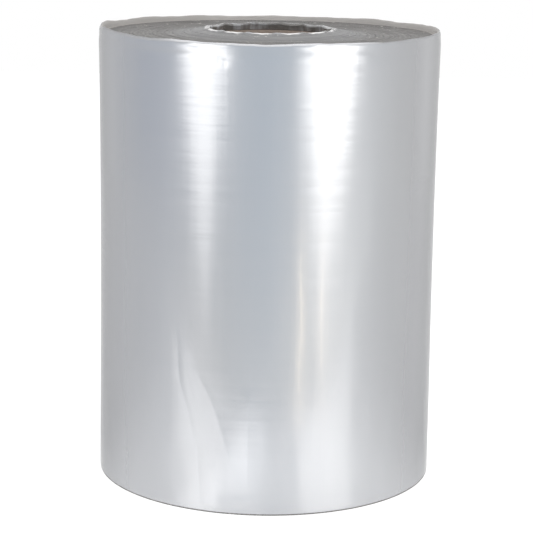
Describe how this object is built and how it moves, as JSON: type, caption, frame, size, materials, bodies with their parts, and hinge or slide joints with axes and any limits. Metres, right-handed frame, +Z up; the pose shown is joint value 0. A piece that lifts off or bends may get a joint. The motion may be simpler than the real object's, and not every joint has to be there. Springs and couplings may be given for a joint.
{
  "type": "roll of poly tubing",
  "caption": "Standing roll of clear lay-flat poly tubing wound on a paperboard core, with a raised wavy lip and a puckered rim around its bore.",
  "frame": {"origin": "centre of the end that the roll stands on, at the level of the surface below it", "axes": "+Z up along the roll's axis and the core's bore; -Y towards the viewer of the picture; +X to the viewer's right"},
  "size_m": [0.2301, 0.2303, 0.3066],
  "materials": {
    "clear_film": "glossy wound polyethylene film, silvery and slightly blue",
    "kraft_paperboard": "matte spirally wound kraft paperboard"
  },
  "bodies": {
    "root": {"film_roll": "clear_film", "core_tube": "kraft_paperboard"}
  },
  "joints": []
}
